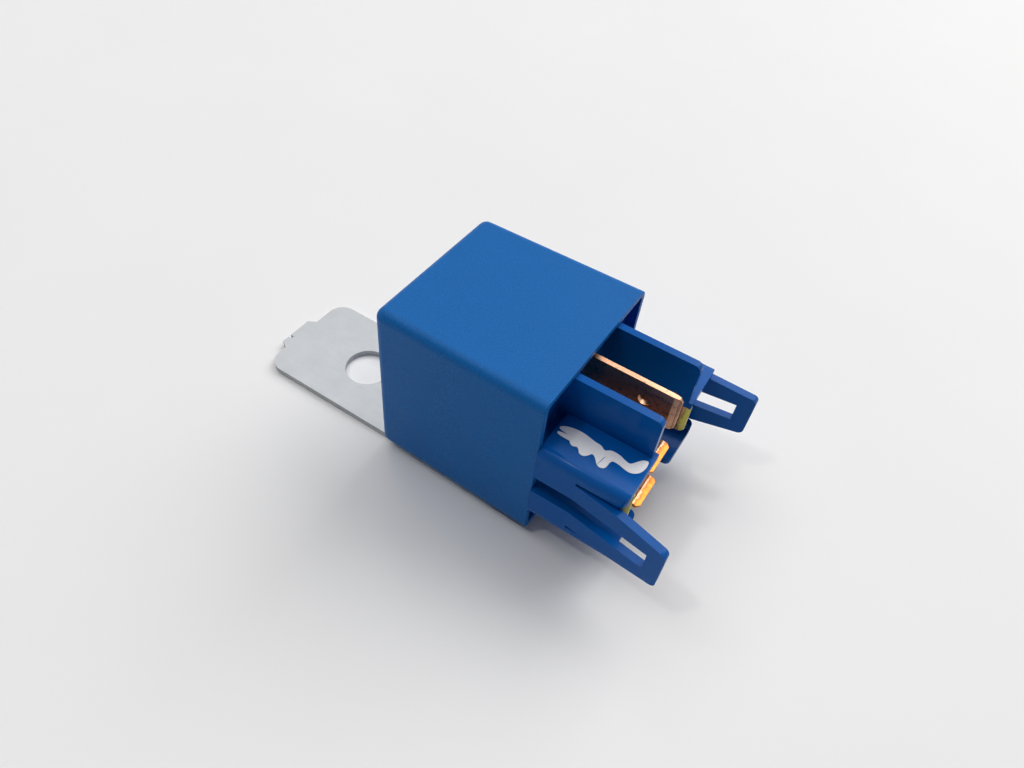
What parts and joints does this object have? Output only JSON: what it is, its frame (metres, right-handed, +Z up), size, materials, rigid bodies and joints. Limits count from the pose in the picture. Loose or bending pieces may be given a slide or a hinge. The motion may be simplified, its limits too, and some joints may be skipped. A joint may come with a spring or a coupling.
{
  "type": "automotive relay",
  "caption": "Plug-in changeover relay: moulded cover on a flat mounting bracket, keyed connector shroud with latch arms, flat blades, and the clapper mechanism inside.",
  "frame": {"origin": "centre of the bracket's mounting hole, on the bracket's underside", "axes": "+X along the relay from the bracket's free end to the blades; +Z up, out of the bracket's upper face; +Y to the left when looking along +X"},
  "size_m": [0.0775, 0.0334, 0.0304],
  "materials": {
    "cover_plastic": "satin moulded",
    "base_plastic": "satin moulded",
    "zinc_plated_steel": "zinc plated, rolled",
    "tinned_copper": "tinned copper alloy, worn at the tips",
    "bobbin_plastic": "matt moulded",
    "enamelled_copper": "enamelled wire",
    "iron": "nickel plated soft iron",
    "spring_bronze": "rolled spring strip",
    "rivet_steel": "satin",
    "contact_silver": "silver alloy",
    "resistor_body": "matt coated",
    "white_paint": "matt paint, dabbed on the base"
  },
  "bodies": {
    "relay": {"cover": "cover_plastic", "mounting_bracket": "zinc_plated_steel", "base": "base_plastic", "terminal_30": "tinned_copper", "terminal_87": "tinned_copper", "terminal_87a": "tinned_copper", "terminal_85": "tinned_copper", "terminal_86": "tinned_copper", "bobbin": "bobbin_plastic", "coil_winding": "enamelled_copper", "core": "iron", "yoke": "iron", "hinge_spring": "spring_bronze", "hinge_rivets": "rivet_steel", "terminal_rivets": "rivet_steel", "no_contact": "contact_silver", "nc_contact": "contact_silver", "coil_lead_85": "enamelled_copper", "coil_lead_86": "enamelled_copper", "suppression_resistor": "resistor_body"},
    "armature": {"armature": "iron", "contact_spring": "spring_bronze", "spring_rivets": "rivet_steel", "moving_contact": "contact_silver"}
  },
  "joints": [
    {"name": "armature_hinge", "type": "hinge", "parent": "relay", "child": "armature", "pos_m": [0.01943, 0.0027, 0.0259], "axis": [0, 1, 0], "range_deg": [-4.2, 0], "stiffness_Nm_per_rad": 0.01, "springref_deg": 17.19}
  ]
}
